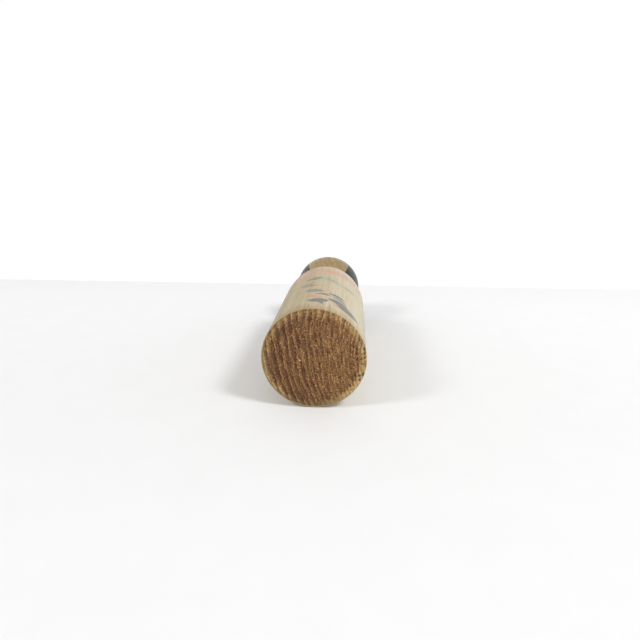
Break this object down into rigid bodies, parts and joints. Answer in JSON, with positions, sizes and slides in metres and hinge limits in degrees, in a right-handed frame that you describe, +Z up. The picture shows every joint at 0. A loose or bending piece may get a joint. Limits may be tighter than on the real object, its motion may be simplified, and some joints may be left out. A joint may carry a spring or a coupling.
{
  "type": "rainstick",
  "caption": "Small turned wooden rainstick in the shape of a limbless doll: a closed chamber with cross pins and steel shot, a painted body and a head that turns on its neck.",
  "frame": {"origin": "on the surface that the stick lies on, under the middle of its length", "axes": "+Y along the turning axis from the base face to the crown of the head, +Z up through the painted front and the face, +X to the right seen from the base"},
  "size_m": [0.05, 0.1608, 0.05],
  "materials": {
    "body_wood": "clear satin lacquer over pale side grain, with painted leaves and a pink band",
    "end_grain_wood": "bare sanded ring-porous end grain",
    "head_wood": "clear satin lacquer with black painted hair",
    "baffle_wood": "plain unfinished dowel",
    "shot_steel": "plain steel shot"
  },
  "bodies": {
    "body": {"body_shell": "body_wood", "base_plug": "end_grain_wood", "baffle_spine": "baffle_wood", "baffle_pin_01": "baffle_wood", "baffle_pin_02": "baffle_wood", "baffle_pin_03": "baffle_wood", "baffle_pin_04": "baffle_wood", "baffle_pin_05": "baffle_wood", "baffle_pin_06": "baffle_wood", "baffle_pin_07": "baffle_wood", "baffle_pin_08": "baffle_wood", "baffle_pin_09": "baffle_wood", "baffle_pin_10": "baffle_wood", "baffle_pin_11": "baffle_wood", "baffle_pin_12": "baffle_wood", "baffle_pin_13": "baffle_wood", "baffle_pin_14": "baffle_wood", "baffle_pin_15": "baffle_wood", "baffle_pin_16": "baffle_wood", "baffle_pin_17": "baffle_wood", "baffle_pin_18": "baffle_wood", "baffle_pin_19": "baffle_wood"},
    "head": {"head": "head_wood"},
    "shot_left": {"grain_left_1": "shot_steel", "grain_left_2": "shot_steel", "grain_left_3": "shot_steel", "grain_left_4": "shot_steel", "grain_left_5": "shot_steel", "grain_left_6": "shot_steel", "grain_left_7": "shot_steel", "grain_left_8": "shot_steel"},
    "shot_middle": {"grain_middle_1": "shot_steel", "grain_middle_2": "shot_steel", "grain_middle_3": "shot_steel", "grain_middle_4": "shot_steel", "grain_middle_5": "shot_steel", "grain_middle_6": "shot_steel", "grain_middle_7": "shot_steel", "grain_middle_8": "shot_steel"},
    "shot_right": {"grain_right_1": "shot_steel", "grain_right_2": "shot_steel", "grain_right_3": "shot_steel", "grain_right_4": "shot_steel", "grain_right_5": "shot_steel", "grain_right_6": "shot_steel", "grain_right_7": "shot_steel", "grain_right_8": "shot_steel"}
  },
  "joints": [
    {"name": "head_turn", "type": "hinge", "parent": "body", "child": "head", "pos_m": [0, 0.02759, 0.025], "axis": [0, 1, 0], "continuous": true},
    {"name": "shot_left_run", "type": "slide", "parent": "body", "child": "shot_left", "axis": [0, 1, 0], "range_m": [0, 0.0465]},
    {"name": "shot_middle_run", "type": "slide", "parent": "body", "child": "shot_middle", "axis": [0, 1, 0], "range_m": [0, 0.0465]},
    {"name": "shot_right_run", "type": "slide", "parent": "body", "child": "shot_right", "axis": [0, 1, 0], "range_m": [0, 0.0465]}
  ]
}
